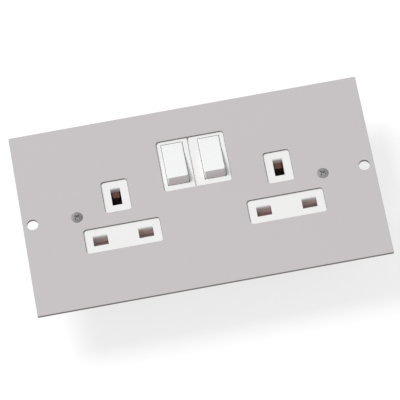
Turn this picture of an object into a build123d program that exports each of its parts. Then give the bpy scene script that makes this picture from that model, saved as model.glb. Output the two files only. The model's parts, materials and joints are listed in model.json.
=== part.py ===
from build123d import *
from math import asin, cos, degrees, hypot, radians, sin, sqrt
import os

os.makedirs("parts", exist_ok=True)

# Twin switched socket on a flat floor box plate. X runs along the plate, Y up it towards
# the switches, Z out of its face. The origin is midway between the two plate screws, on the
# plate's underside, which is the plane that the plate is fixed by. Millimetres.

# Front plate
plate_length = 172.5
plate_width = 99.0
plate_thickness = 1.5
plate_centre = (-0.65, 0.4)
fixing_inset = 4.85
fixing_hole_radius = 2.75
window_corner_radius = 1.6
pin_window = (37.4, 13.2)
earth_window = (13.0, 17.2)
window_rise = 0.45
switch_side_rim = 2.2
switch_lower_rim = 3.1
switch_upper_rim = 1.75

# Sockets, seen from the front with the earth slot above the other two
socket_spacing = 79.9
pin_spacing = 22.2
pin_row_y = -14.5
pin_slot = (7.2, 4.8)
earth_slot = (4.8, 8.8)
slot_lead_in = 1.0
slot_depth = 6.6
collar_wall = 1.3
socket_x = (-socket_spacing / 2, socket_spacing / 2)
earth_y = pin_row_y + pin_spacing

# Plate screws and the bushes that they go into
screw_spacing = 120.6
screw_radius = 1.45
screw_length = 12.0
screw_head_radius = 2.85
screw_head_dome = 0.35
screw_hole_gap = 0.15
countersink_gap = 0.05
countersink_angle = 90
recess_width = 0.7
recess_length = 3.0
plate_recess_depth = 1.2
cover_recess_depth = 1.0
bush_radius = 3.0
bush_bore_radius = 1.5
bush_spigot_radius = 1.9
bush_spigot_end = 0.6
bush_socket_depth = 1.0
bush_wall = 1.4

# Front moulding
front_wall = 2.5
pad_height = 0.8
pad_gap = 0.15
skirt_wall = 1.8
body_overhang = 25.55
outline_x = socket_spacing / 2 + body_overhang
outline_top = 24.0
outline_bottom = -28.0
tower_top = 39.0
outline_corner_radius = 3.0
smallest_corner_radius = 0.5
lap_height = 1.5
lap_wall = 0.8
fit_gap = 0.1
moving_gap = 0.3
rocker_gap = 0.2

# Levels, all measured from the plate's underside
split_z = -12.0
bar_top_z = -16.8
earth_clip_base_z = -21.7
rear_z = -27.0

# Sheet brass
strip_thickness = 0.8
strip_width = 4.0
strap_eye_margin = 0.3
bar_z = bar_top_z - strip_thickness

# Rear cover
floor_wall = 1.6
pod_overhang = 6.45
pod_inner_x = socket_spacing / 2 - pod_overhang
pod_wall = 1.6
rib_wall = 1.4
tray_z = bar_z - floor_wall

# Cover screws
cover_screw_inset = 4.85
cover_screw_radius = 1.2
cover_screw_length = 10.0
cover_head_radius = 2.6
cover_head_height = 1.8
cover_head_z = -15.0
pillar_wall = 1.2

# Switch rockers
switch_x = 0.12
switch_y = 20.03
rocker_spacing = 18.1
rocker_width = 10.45
rocker_length = 20.87
rocker_height = 6.32
rocker_dish = 0.3
rocker_pivot_z = -3.7
rocker_half_angle = 9.8
rocker_top_wall = 1.6
rocker_side_wall = 1.2
rocker_end_wall = 1.4
rocker_skirt_angle = 10.0
rocker_edge_radius = 0.4
trunnion_radius = 1.5
trunnion_gap = 0.06
well_wall = 1.6
well_depth = 9.0
groove_x = switch_x - 0.95
groove_width = 0.8
groove_depth = 0.9
rocker_x = (switch_x - rocker_spacing / 2, switch_x + rocker_spacing / 2)
rocker_end_radius = hypot(rocker_length / 2, rocker_height)
well_radius = rocker_end_radius + rocker_gap
well_face_v = pad_height - rocker_pivot_z
well_mouth_y = sqrt(well_radius**2 - well_face_v**2)
switch_window = (
    rocker_spacing + rocker_width + 2 * (rocker_gap + switch_side_rim),
    2 * well_mouth_y + switch_lower_rim + switch_upper_rim,
)
switch_window_y = switch_y + (switch_upper_rim - switch_lower_rim) / 2

# Plungers and their springs, measured from the rocker's pivot
plunger_radius = 1.5
plunger_gap = 0.08
plunger_seat = -0.6
plunger_spigot = 1.2
plunger_boss_bottom = -3.0
plunger_bore_top = 4.2
spigot_radius = 0.7
rocker_spring_radius = 1.1
rocker_spring_turns = 3
spring_wire = 0.35
wire_flats = 4

# See-saw contacts
seesaw_half_angle = 10.0
seesaw_thickness = 1.0
seesaw_width = 4.4
seesaw_tail = 8.0
seesaw_nose = 9.4
bead_radius = 0.8
bead_gap = 0.05
tip_reach = 7.6
tip_radius = 1.5
tip_height = 0.8
fixed_tip_height = 0.7
contact_gap = 0.1
cradle_length = 2.6
cradle_drop = 0.35
cradle_width = 5.0
contact_pad_radius = 2.4
fixed_tip_z = bar_top_z + fixed_tip_height
tip_drop = tip_reach * sin(radians(seesaw_half_angle)) + tip_height
seesaw_z = fixed_tip_z + contact_gap + tip_drop
plunger_length = rocker_pivot_z - (seesaw_z + seesaw_thickness + contact_gap)

# Clips, as plug pins of 6.35 x 4 mm and 8 x 4 mm need them
clip_length = 7.0
earth_clip_length = 8.0
clip_top_z = -9.2
earth_clip_top_z = -12.2
clip_pinch = 1.55
clip_pinch_drop = 2.4
clip_belly = 2.7
clip_foot = 1.8
clip_inner_radius = 0.05

# Shutters
shutter_thickness = 2.0
shutter_half_width = 15.7
shutter_lap = 0.7
shutter_inner_lap = 1.1
shutter_travel = 6.0
shutter_arm_inner = 3.6
shutter_arm_outer = 5.6
shutter_bridge = 2.6
ramp_half_width = 1.7
ramp_shoulder = 1.9
ramp_nose = 0.5
ramp_end_gap = 0.6
rail_wall = 1.4
rail_hook = 0.8
rail_hook_height = 1.0
arm_rail_length = 8.0
arm_rail_y = 2.7
ramp_top_z = -front_wall - moving_gap
slot_end_z = pad_height - slot_depth
shutter_top_z = slot_end_z - moving_gap
shutter_edge_y = pin_row_y - pin_slot[1] / 2 - shutter_lap
shutter_inner_y = pin_row_y + pin_slot[1] / 2 + shutter_inner_lap
plate_rail_length = shutter_inner_y - shutter_edge_y + shutter_travel
ramp_back_y = earth_y + earth_slot[1] / 2

# Shutter springs
shutter_spring_radius = 1.2
shutter_spring_turns = 4
shutter_spring_z = shutter_top_z - shutter_thickness / 2
shutter_spring_gap = 0.1
peg_radius = 0.75
peg_length = 2.6
post_thickness = 2.0
post_half_width = 1.7
post_overhang = 1.0
post_y = earth_y - earth_slot[1] / 2 - collar_wall - post_thickness

# Pillar terminals, each given as the centre of its block
terminal_size = 8.0
terminal_bottom_z = -25.2
terminal_bore_radius = 2.0
terminal_bore_z = -21.6
terminal_gap = 0.2
terminal_edge = 0.6
live_terminal = (-12.0, 4.0)
neutral_terminal = (12.0, -22.0)
earth_terminal = (0.0, 33.5)
terminals = (live_terminal, neutral_terminal, earth_terminal)
terminal_screw_radius = 1.65
terminal_thread_gap = 0.05
terminal_head_radius = 2.4
terminal_head_height = 1.4
terminal_tip_gap = 0.3
driver_slot = 0.8
rivet_radius = 1.0
rivet_head_radius = 1.8
rivet_head_height = 0.7
rivet_length = 1.6

# Routes of the brass strips
run_gap = 2.0
run_margin = 0.7
neutral_run_y = -23.2
clip_to_live_run = 9.35
live_run_x = socket_spacing / 2 - pin_spacing / 2 - clip_to_live_run
live_pass_y = -4.0
live_branch_end = 3.0
earth_run_x = live_run_x + strip_width + run_gap
tower_x = earth_run_x + strip_width / 2 + run_margin + skirt_wall

# How near two places or lengths must be to count as the same
same = 0.01


def side_plane(x, y, z, tilt=0):
    """Plane across the switch axis: local x runs along +Y and local y along +Z, then tilted."""
    turn = radians(tilt)
    return Plane(origin=(x, y, z), x_dir=(0, cos(turn), sin(turn)), z_dir=(1, 0, 0))


def dome_radius(rim_radius, height):
    """Radius of the sphere that a shallow dome is part of."""
    return (rim_radius**2 + height**2) / (2 * height)


def save(piece, name):
    piece.part.label = name
    export_step(piece.part, f"parts/{name}.step")


def module_outline(inset=0.0):
    """Outline of the moulding: a wide body with the switch tower above its middle."""
    with BuildSketch() as outline:
        body_height = outline_top - outline_bottom
        with Locations((0, (outline_top + outline_bottom) / 2)):
            Rectangle(2 * (outline_x - inset), body_height - 2 * inset)
        with Locations((0, (tower_top + outline_bottom) / 2)):
            Rectangle(2 * (tower_x - inset), tower_top - outline_bottom - 2 * inset)
        outer = outline.vertices().filter_by(lambda v: abs(v.X) > tower_x or v.Y > outline_top + same)
        fillet(outer, max(outline_corner_radius - inset, smallest_corner_radius))
    return outline.sketch


def windows(gap=0.0):
    """The five windows of the plate, or the pads that stand in them with a gap all round."""
    with BuildSketch() as cuts:
        radius = window_corner_radius - gap
        with Locations(*[(x, pin_row_y + window_rise) for x in socket_x]):
            RectangleRounded(pin_window[0] - 2 * gap, pin_window[1] - 2 * gap, radius)
        with Locations(*[(x, earth_y + window_rise) for x in socket_x]):
            RectangleRounded(earth_window[0] - 2 * gap, earth_window[1] - 2 * gap, radius)
        with Locations((switch_x, switch_window_y)):
            RectangleRounded(switch_window[0] - 2 * gap, switch_window[1] - 2 * gap, radius)
    return cuts.sketch


def bar_route(points, width=strip_width):
    """Flat strip along a route, lying on the level of the bars."""
    with BuildSketch(Plane.XY.offset(bar_z)) as route:
        with BuildLine():
            Polyline(*points)
        trace(line_width=width)
    return route.sketch


def clip_section(plane, top_z, base_z):
    """Section of a folded clip: a base and two cheeks that pinch a pin and flare at the mouth."""
    middle_z = base_z - strip_thickness / 2
    cheek = [
        (-clip_belly, top_z),
        (-clip_pinch - strip_thickness / 2, top_z - clip_pinch_drop),
        (-clip_belly, middle_z + clip_foot),
        (-clip_belly, middle_z),
    ]
    with BuildSketch(plane) as section:
        with BuildLine():
            bend_radius = strip_thickness / 2 + clip_inner_radius
            FilletPolyline(*cheek, *[(-x, z) for x, z in reversed(cheek)], radius=bend_radius)
        trace(line_width=strip_thickness)
    return section.sketch


def line_clip(x):
    """Clip of a line or neutral pin, its cheeks facing along Y."""
    return clip_section(side_plane(x, pin_row_y, 0), clip_top_z, bar_top_z)


def earth_clip(x):
    """Clip of an earth pin, its cheeks facing along X."""
    plane = Plane(origin=(x, earth_y, 0), x_dir=(1, 0, 0), z_dir=(0, -1, 0))
    return clip_section(plane, earth_clip_top_z, earth_clip_base_z)


def coil(start, direction, length, radius, turns):
    """A coil spring along a line. Its wire is square, which is round enough at this size."""
    with BuildPart() as spring:
        with BuildLine() as path:
            Helix(length / turns, length, radius, center=start, direction=direction)
        with BuildSketch(Plane(path.line @ 0, z_dir=path.line % 0)):
            RegularPolygon(spring_wire / 2, wire_flats)
        sweep()
    return spring


def front_plate():
    with BuildPart() as plate:
        with BuildSketch():
            with Locations(plate_centre):
                Rectangle(plate_length, plate_width)
        extrude(amount=plate_thickness)
        extrude(windows(), amount=plate_thickness, mode=Mode.SUBTRACT)
        with Locations(Plane.XY.offset(plate_thickness)):
            with Locations(plate_centre):
                with GridLocations(plate_length - 2 * fixing_inset, 0, 2, 1):
                    Hole(fixing_hole_radius)
            with GridLocations(screw_spacing, 0, 2, 1):
                CounterSinkHole(
                    screw_radius + screw_hole_gap,
                    screw_head_radius + countersink_gap,
                    counter_sink_angle=countersink_angle,
                )
    save(plate, "front_plate")


def well_section(plane):
    """Section of a switch well: it follows the rocker's end arcs and is open below."""
    face_angle = degrees(asin(well_face_v / well_radius))
    below = -2 * well_depth
    with BuildSketch(plane) as section:
        with BuildLine():
            CenterArc((0, 0), well_radius, 0, face_angle)
            Line((well_mouth_y, well_face_v), (-well_mouth_y, well_face_v))
            CenterArc((0, 0), well_radius, 180 - face_angle, face_angle)
            Polyline((-well_radius, 0), (-well_radius, below), (well_radius, below), (well_radius, 0))
        make_face()
    return section.sketch


def shutter_rail(x, y, side, edge):
    """Guide hung from the front wall whose hook holds one edge of a shutter up."""
    inner = edge + moving_gap
    top_z = -front_wall
    hook_z = shutter_top_z - shutter_thickness - moving_gap
    section = [
        (side * inner, top_z),
        (side * (inner + rail_wall), top_z),
        (side * (inner + rail_wall), hook_z - rail_hook_height),
        (side * (edge - rail_hook), hook_z - rail_hook_height),
        (side * (edge - rail_hook), hook_z),
        (side * inner, hook_z),
    ]
    with BuildSketch(Plane(origin=(x, y, 0), x_dir=(1, 0, 0), z_dir=(0, -1, 0))) as rail:
        with BuildLine():
            Polyline(*section, close=True)
        make_face()
    return rail.sketch


def socket_front():
    skirt_height = -split_z - front_wall
    well_half_x = rocker_width / 2 + rocker_gap
    with BuildPart() as front:
        extrude(module_outline(), amount=split_z)
        extrude(module_outline(skirt_wall), amount=split_z, mode=Mode.SUBTRACT)
        extrude(module_outline(), amount=-front_wall)
        extrude(windows(pad_gap), amount=pad_height)
        # Switch wells
        with BuildSketch(Plane.XY):
            with Locations(*[(x, switch_y) for x in rocker_x]):
                Rectangle(2 * (well_half_x + well_wall), 2 * (well_radius + well_wall))
        extrude(amount=-well_depth)
        for x in rocker_x:
            plane = side_plane(x, switch_y, rocker_pivot_z)
            extrude(well_section(plane), amount=well_half_x, both=True, mode=Mode.SUBTRACT)
        for x in rocker_x:
            with BuildSketch(side_plane(x, switch_y, rocker_pivot_z)):
                Circle(trunnion_radius + trunnion_gap)
            extrude(amount=well_half_x + well_wall, both=True, mode=Mode.SUBTRACT)
        # Groove between the two switches
        with BuildSketch(Plane.XY.offset(pad_height)):
            with Locations((groove_x, switch_window_y)):
                Rectangle(groove_width, switch_window[1])
        extrude(amount=-groove_depth, mode=Mode.SUBTRACT)
        # Bosses for the bushes and the cover screws
        with BuildSketch(Plane.XY.offset(-front_wall)):
            with GridLocations(screw_spacing, 0, 2, 1):
                Circle(bush_radius + bush_wall)
            with Locations(*cover_screw_places()):
                Circle(cover_screw_radius + 2 * pillar_wall)
        extrude(amount=-skirt_height)
        with Locations(Plane.XY):
            with GridLocations(screw_spacing, 0, 2, 1):
                Hole(bush_radius, depth=-split_z)
        with Locations(Plane.XY.offset(split_z)):
            with Locations(*cover_screw_places()):
                Hole(cover_screw_radius + fit_gap / 2, depth=skirt_height)
        # Rebate for the lip of the cover
        with BuildSketch(Plane.XY.offset(split_z)):
            add(module_outline(skirt_wall - lap_wall - fit_gap))
            add(module_outline(skirt_wall), mode=Mode.SUBTRACT)
            with GridLocations(screw_spacing, 0, 2, 1):
                Circle(bush_radius + bush_wall, mode=Mode.SUBTRACT)
            with Locations(*cover_screw_places()):
                Circle(cover_screw_radius + 2 * pillar_wall, mode=Mode.SUBTRACT)
        extrude(amount=lap_height + fit_gap, mode=Mode.SUBTRACT)
        # Shutter guides and spring posts
        for x in socket_x:
            for side in (-1, 1):
                plate_rail = shutter_rail(x, shutter_edge_y, side, shutter_half_width)
                extrude(plate_rail, amount=-plate_rail_length)
                arm_rail = shutter_rail(x, arm_rail_y, side, shutter_arm_outer)
                extrude(arm_rail, amount=-arm_rail_length)
        with BuildSketch(Plane.XY.offset(-front_wall)):
            with Locations(*[(x, post_y + post_thickness / 2) for x in socket_x]):
                Rectangle(2 * post_half_width, post_thickness)
        extrude(amount=shutter_spring_z - shutter_spring_radius + front_wall - post_overhang)
        # Slots with a lead-in along their edges, in collars that guide the pins
        with BuildSketch(Plane.XY.offset(-front_wall)):
            for x in socket_x:
                with Locations((x - pin_spacing / 2, pin_row_y), (x + pin_spacing / 2, pin_row_y)):
                    Rectangle(pin_slot[0] + 2 * collar_wall, pin_slot[1] + 2 * collar_wall)
                with Locations((x, earth_y - collar_wall / 2)):
                    Rectangle(earth_slot[0] + 2 * collar_wall, earth_slot[1] + collar_wall)
        extrude(amount=slot_end_z + front_wall)
        with BuildSketch(Plane.XY.offset(pad_height)):
            for x in socket_x:
                with Locations((x - pin_spacing / 2, pin_row_y), (x + pin_spacing / 2, pin_row_y)):
                    Rectangle(*pin_slot)
                with Locations((x, earth_y)):
                    Rectangle(*earth_slot)
        extrude(amount=-slot_depth, mode=Mode.SUBTRACT)
        pads = front.faces().filter_by(Axis.Z).group_by(Axis.Z)[-1]
        lead_in_edges = pads.edges().filter_by(is_upper_slot_edge)
        fillet(lead_in_edges, slot_lead_in)
    save(front, "socket_front")


def is_upper_slot_edge(edge):
    """True for the edge of a slot that faces away from the user, where pins slide in."""
    middle = edge.center()
    for y, slot in ((pin_row_y, pin_slot), (earth_y, earth_slot)):
        if abs(middle.Y - (y + slot[1] / 2)) < same and abs(edge.length - slot[0]) < same:
            return True
    return False


def cover_screw_places():
    x = outline_x - cover_screw_inset
    rows = (outline_bottom + cover_screw_inset, outline_top - cover_screw_inset)
    return [(side * x, y) for side in (-1, 1) for y in rows]


def pod_outline(inset=0.0):
    """The two ends of the outline, left and right of the wiring trough."""
    with BuildSketch() as pods:
        add(module_outline(inset))
        Rectangle(2 * (pod_inner_x + inset), 4 * tower_top, mode=Mode.SUBTRACT)
    return pods.sketch


def rear_cover():
    pod_floor_z = rear_z + floor_wall
    with BuildPart() as cover:
        # Tray with a lip that laps inside the front moulding
        with BuildSketch(Plane.XY.offset(tray_z)):
            add(module_outline())
        extrude(amount=split_z - tray_z)
        with BuildSketch(Plane.XY.offset(split_z)):
            add(module_outline(skirt_wall - lap_wall))
            with GridLocations(screw_spacing, 0, 2, 1):
                Circle(bush_radius + bush_wall + fit_gap, mode=Mode.SUBTRACT)
            with Locations(*cover_screw_places()):
                Circle(cover_screw_radius + 2 * pillar_wall + fit_gap, mode=Mode.SUBTRACT)
        extrude(amount=lap_height)
        with BuildSketch(Plane.XY.offset(bar_z)):
            add(module_outline(skirt_wall))
        extrude(amount=split_z + lap_height - bar_z, mode=Mode.SUBTRACT)
        # Pods over the earth clips, which the module rests on
        extrude(pod_outline().moved(Location((0, 0, rear_z))), amount=tray_z - rear_z)
        inside = pod_outline(pod_wall).moved(Location((0, 0, pod_floor_z)))
        extrude(inside, amount=bar_z - pod_floor_z, mode=Mode.SUBTRACT)
        # Posts under the clips and the bushes
        with BuildSketch(Plane.XY.offset(pod_floor_z)):
            with Locations(*[(x, earth_y) for x in socket_x]):
                Rectangle(2 * clip_belly, rib_wall)
        extrude(amount=earth_clip_base_z - strip_thickness - pod_floor_z)
        with BuildSketch(Plane.XY.offset(pod_floor_z)):
            outer_clip_x = socket_spacing / 2 + pin_spacing / 2
            with Locations((-outer_clip_x, pin_row_y), (outer_clip_x, pin_row_y)):
                Rectangle(clip_length, rib_wall)
            with GridLocations(screw_spacing, 0, 2, 1):
                Circle(bush_radius + bush_wall)
            with Locations(*cover_screw_places()):
                Circle(cover_head_radius + pillar_wall)
        extrude(amount=bar_z - pod_floor_z)
        with BuildSketch(Plane.XY.offset(bar_z)):
            with Locations(*cover_screw_places()):
                Circle(cover_head_radius + pillar_wall)
        extrude(amount=split_z - bar_z)
        # Holes for the bush spigots, the cover screws and the terminals
        with Locations(Plane.XY.offset(bar_z)):
            with GridLocations(screw_spacing, 0, 2, 1):
                Hole(bush_spigot_radius + fit_gap, depth=bush_socket_depth)
        with Locations(Plane(origin=(0, 0, rear_z), x_dir=(1, 0, 0), z_dir=(0, 0, -1))):
            with Locations(*[(x, -y) for x, y in cover_screw_places()]):
                CounterBoreHole(
                    cover_screw_radius + moving_gap,
                    cover_head_radius + moving_gap,
                    cover_head_z - rear_z,
                )
        with BuildSketch(Plane.XY.offset(tray_z)):
            with Locations(*terminals):
                Rectangle(terminal_size + 2 * terminal_gap, terminal_size + 2 * terminal_gap)
        extrude(amount=floor_wall, mode=Mode.SUBTRACT)
    save(cover, "rear_cover")


def rocker(side, x):
    turned = side_plane(x, switch_y, rocker_pivot_z, -rocker_half_angle)
    corner = (rocker_length / 2, rocker_height)
    corner_angle = degrees(asin(rocker_height / rocker_end_radius))
    skirt = rocker_end_radius * cos(radians(rocker_skirt_angle))
    skirt_v = rocker_end_radius * sin(radians(rocker_skirt_angle))
    inner_radius = rocker_end_radius - rocker_end_wall
    inner_v = rocker_height - rocker_dish - rocker_top_wall
    inner_angle = degrees(asin(inner_v / inner_radius))
    arc = corner_angle - rocker_skirt_angle
    with BuildPart() as piece:
        # Shell whose ends are arcs about the pivot
        with BuildSketch(turned):
            with BuildLine():
                ThreePointArc((-corner[0], corner[1]), (0, corner[1] - rocker_dish), corner)
                CenterArc((0, 0), rocker_end_radius, rocker_skirt_angle, arc)
                CenterArc((0, 0), rocker_end_radius, 180 - corner_angle, arc)
                Line((-skirt, skirt_v), (skirt, skirt_v))
            make_face()
        extrude(amount=rocker_width / 2, both=True)
        top = piece.faces().sort_by(Axis(turned.origin, turned.y_dir))[-1]
        fillet(top.edges(), rocker_edge_radius)
        with BuildSketch(turned):
            with BuildLine():
                inner_mouth = inner_radius * cos(radians(inner_angle))
                Line((inner_mouth, inner_v), (-inner_mouth, inner_v))
                CenterArc((0, 0), inner_radius, 0, inner_angle)
                CenterArc((0, 0), inner_radius, 180 - inner_angle, inner_angle)
                Line((-inner_radius, 0), (inner_radius, 0))
            make_face()
        extrude(amount=rocker_width / 2 - rocker_side_wall, both=True, mode=Mode.SUBTRACT)
        # Cheeks that carry the trunnions
        cheek_radius = 2 * trunnion_radius
        for cheek_x in (-1, 1):
            with BuildSketch(turned.offset(cheek_x * (rocker_width - rocker_side_wall) / 2)):
                Circle(cheek_radius)
                with Locations((0, skirt_v / 2)):
                    Rectangle(2 * cheek_radius, skirt_v)
            extrude(amount=rocker_side_wall / 2, both=True)
        with BuildSketch(turned.offset(rocker_width / 2), turned.offset(-rocker_width / 2)):
            Circle(trunnion_radius)
        extrude(amount=rocker_gap + well_wall - fit_gap, both=True)
        # Boss that the plunger slides in
        boss_radius = plunger_radius + plunger_gap + rocker_side_wall
        boss = Plane(origin=turned.origin, x_dir=(1, 0, 0), z_dir=turned.y_dir)
        with BuildSketch(boss.offset(plunger_boss_bottom)):
            Circle(boss_radius)
        extrude(amount=inner_v - plunger_boss_bottom + rocker_top_wall / 2)
        with BuildSketch(boss.offset(plunger_boss_bottom)):
            Circle(plunger_radius + plunger_gap)
        extrude(amount=plunger_bore_top - plunger_boss_bottom, mode=Mode.SUBTRACT)
    save(piece, f"rocker_{side}")


def plunger(side, x):
    turned = side_plane(x, switch_y, rocker_pivot_z, -rocker_half_angle)
    dome_v = -plunger_length + plunger_radius
    with BuildPart() as pin:
        with BuildSketch(turned):
            with BuildLine():
                Polyline(
                    (0, -plunger_length),
                    (0, plunger_spigot + plunger_seat),
                    (spigot_radius, plunger_spigot + plunger_seat),
                    (spigot_radius, plunger_seat),
                    (plunger_radius, plunger_seat),
                    (plunger_radius, dome_v),
                )
                CenterArc((0, dome_v), plunger_radius, 270, 90)
            make_face()
        revolve(axis=Axis(turned.origin, turned.y_dir))
    save(pin, f"plunger_{side}")


def rocker_spring(side, x):
    turned = side_plane(x, switch_y, rocker_pivot_z, -rocker_half_angle)
    start = turned.from_local_coords((0, plunger_seat + spring_wire, 0))
    length = plunger_bore_top - plunger_seat - 2 * spring_wire
    spring = coil(start, turned.y_dir, length, rocker_spring_radius, rocker_spring_turns)
    save(spring, f"rocker_spring_{side}")


def moving_contact(side, x):
    turned = side_plane(x, switch_y, seesaw_z, seesaw_half_angle)
    with BuildPart() as seesaw:
        with BuildSketch(turned):
            Circle(bead_radius)
            with Locations(((seesaw_nose - seesaw_tail) / 2, seesaw_thickness / 2)):
                Rectangle(seesaw_nose + seesaw_tail, seesaw_thickness)
        extrude(amount=seesaw_width / 2, both=True)
    save(seesaw, f"moving_contact_{side}")


def moving_tip(side, x):
    turned = side_plane(x, switch_y, seesaw_z, seesaw_half_angle)
    crown = tip_height / 2
    crown_radius = dome_radius(tip_radius, crown)
    crown_angle = degrees(asin(tip_radius / crown_radius))
    with BuildPart() as tip:
        with BuildSketch(turned):
            with BuildLine():
                rim = tip_reach + tip_radius
                Polyline((tip_reach, -tip_height), (tip_reach, 0), (rim, 0), (rim, crown - tip_height))
                CenterArc((tip_reach, crown_radius - tip_height), crown_radius, 270, crown_angle)
            make_face()
        revolve(axis=Axis(turned.from_local_coords((tip_reach, 0, 0)), turned.y_dir))
    save(tip, f"moving_tip_{side}")


def fixed_tip_y():
    """Where a moving tip's crown comes down when its switch is on."""
    turn = radians(seesaw_half_angle)
    return switch_y + tip_reach * cos(turn) - tip_height * sin(turn)


def fixed_tips():
    with BuildPart() as tips:
        with BuildSketch(Plane.XY.offset(bar_top_z)):
            with Locations(*[(x, fixed_tip_y()) for x in rocker_x]):
                Circle(tip_radius)
        extrude(amount=fixed_tip_height)
    save(tips, "fixed_tips")


def live_bar():
    branch_x, branch_y = live_terminal
    with BuildPart() as bar:
        ends = cradle_width / 2
        across = [(rocker_x[0] - ends, switch_y), (rocker_x[1] + ends, switch_y)]
        extrude(bar_route(across, cradle_width), amount=strip_thickness)
        branch = [(branch_x, switch_y), (branch_x, branch_y - live_branch_end)]
        extrude(bar_route(branch), amount=strip_thickness)
        for x in rocker_x:
            with BuildSketch(side_plane(x, switch_y, 0)):
                post_top = seesaw_z - cradle_drop
                with Locations((0, (post_top + bar_top_z) / 2)):
                    Rectangle(cradle_length, post_top - bar_top_z)
            extrude(amount=seesaw_width / 2, both=True)
            with BuildSketch(side_plane(x, switch_y, seesaw_z)):
                Circle(bead_radius + bead_gap)
            extrude(amount=seesaw_width / 2, both=True, mode=Mode.SUBTRACT)
        with Locations(Plane.XY.offset(bar_top_z)):
            with Locations(live_terminal):
                Hole(rivet_radius, depth=strip_thickness)
    save(bar, "live_bar")


def live_contact(side, x, run_x, clip_x, passes):
    """Strip from the fixed contact of a switch, round the other bars, to a line clip."""
    contact_y = fixed_tip_y()
    route = [(x, contact_y), (run_x, contact_y)]
    if passes:
        route += [(run_x, live_pass_y), (clip_x, live_pass_y), (clip_x, pin_row_y + clip_belly)]
    else:
        route += [(run_x, pin_row_y), (clip_x + clip_length / 2, pin_row_y)]
    with BuildPart() as strip:
        extrude(bar_route(route), amount=strip_thickness)
        with BuildSketch(Plane.XY.offset(bar_z)):
            with Locations((x, contact_y)):
                Circle(contact_pad_radius)
        extrude(amount=strip_thickness)
        extrude(line_clip(clip_x), amount=clip_length / 2, both=True)
    save(strip, f"live_contact_{side}")


def neutral_bar():
    clip_x = [x - pin_spacing / 2 for x in socket_x]
    with BuildPart() as bar:
        route = [
            (clip_x[0], pin_row_y - clip_belly),
            (clip_x[0], neutral_run_y),
            (clip_x[1], neutral_run_y),
            (clip_x[1], pin_row_y - clip_belly),
        ]
        extrude(bar_route(route), amount=strip_thickness)
        for x in clip_x:
            extrude(line_clip(x), amount=clip_length / 2, both=True)
        with Locations(Plane.XY.offset(bar_top_z)):
            with Locations(neutral_terminal):
                Hole(rivet_radius, depth=strip_thickness)
    save(bar, "neutral_bar")


def earth_bar():
    clip_x = socket_spacing / 2
    cheek = clip_belly - strip_thickness / 2
    bush_x = screw_spacing / 2
    arch = [
        (-clip_x + cheek, earth_y),
        (-earth_run_x, earth_y),
        (-earth_run_x, earth_terminal[1]),
        (earth_run_x, earth_terminal[1]),
        (earth_run_x, earth_y),
        (clip_x - cheek, earth_y),
    ]
    strap = [(clip_x + cheek, earth_y), (bush_x, earth_y), (bush_x, 0)]
    with BuildPart() as bar:
        extrude(bar_route(arch), amount=strip_thickness)
        for side in (-1, 1):
            extrude(bar_route([(side * x, y) for x, y in strap]), amount=strip_thickness)
            with BuildSketch(Plane.XY.offset(bar_z)):
                with Locations((side * bush_x, 0)):
                    Circle(bush_radius + strap_eye_margin)
            extrude(amount=strip_thickness)
            extrude(earth_clip(side * clip_x), amount=earth_clip_length / 2, both=True)
        with Locations(Plane.XY.offset(bar_top_z)):
            with GridLocations(screw_spacing, 0, 2, 1):
                Hole(bush_spigot_radius, depth=strip_thickness)
            with Locations(earth_terminal):
                Hole(rivet_radius, depth=strip_thickness)
    save(bar, "earth_bar")


def shutter(side, x):
    bottom_z = shutter_top_z - shutter_thickness
    bridge_y = ramp_back_y + shutter_bridge
    arm_length = bridge_y - shutter_inner_y
    arm_width = shutter_arm_outer - shutter_arm_inner
    arm_middle = (shutter_arm_outer + shutter_arm_inner) / 2
    nose_y = ramp_back_y - ramp_shoulder
    nose_z = ramp_top_z - ramp_shoulder
    ramp_end_z = earth_clip_top_z + ramp_end_gap
    with BuildPart() as piece:
        with BuildSketch(Plane.XY.offset(bottom_z)):
            with Locations((x, (shutter_edge_y + shutter_inner_y) / 2)):
                Rectangle(2 * shutter_half_width, shutter_inner_y - shutter_edge_y)
            with Locations(*[(x + s * arm_middle, shutter_inner_y + arm_length / 2) for s in (-1, 1)]):
                Rectangle(arm_width, arm_length)
            with Locations((x, ramp_back_y + shutter_bridge / 2)):
                Rectangle(2 * shutter_arm_outer, shutter_bridge)
        extrude(amount=shutter_thickness)
        # Two-stage ramp that the earth pin pushes back, with a nose between the stages
        with BuildSketch(side_plane(x, 0, 0)):
            with BuildLine():
                Polyline(
                    (ramp_back_y, ramp_top_z),
                    (nose_y, nose_z),
                    (nose_y + ramp_nose, nose_z - ramp_nose),
                    (ramp_back_y - shutter_travel, ramp_end_z),
                    (bridge_y, ramp_end_z),
                    (bridge_y, ramp_top_z),
                    close=True,
                )
            make_face()
        extrude(amount=ramp_half_width, both=True)
        # Peg inside the return spring
        with BuildSketch(Plane(origin=(x, shutter_inner_y, shutter_spring_z), z_dir=(0, 1, 0))):
            Circle(peg_radius)
        extrude(amount=peg_length)
    save(piece, f"shutter_{side}")


def shutter_spring(side, x):
    start_y = shutter_inner_y + spring_wire / 2 + shutter_spring_gap
    end_y = post_y - spring_wire / 2 - shutter_spring_gap
    start = (x, start_y, shutter_spring_z)
    spring = coil(start, (0, 1, 0), end_y - start_y, shutter_spring_radius, shutter_spring_turns)
    save(spring, f"shutter_spring_{side}")


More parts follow.
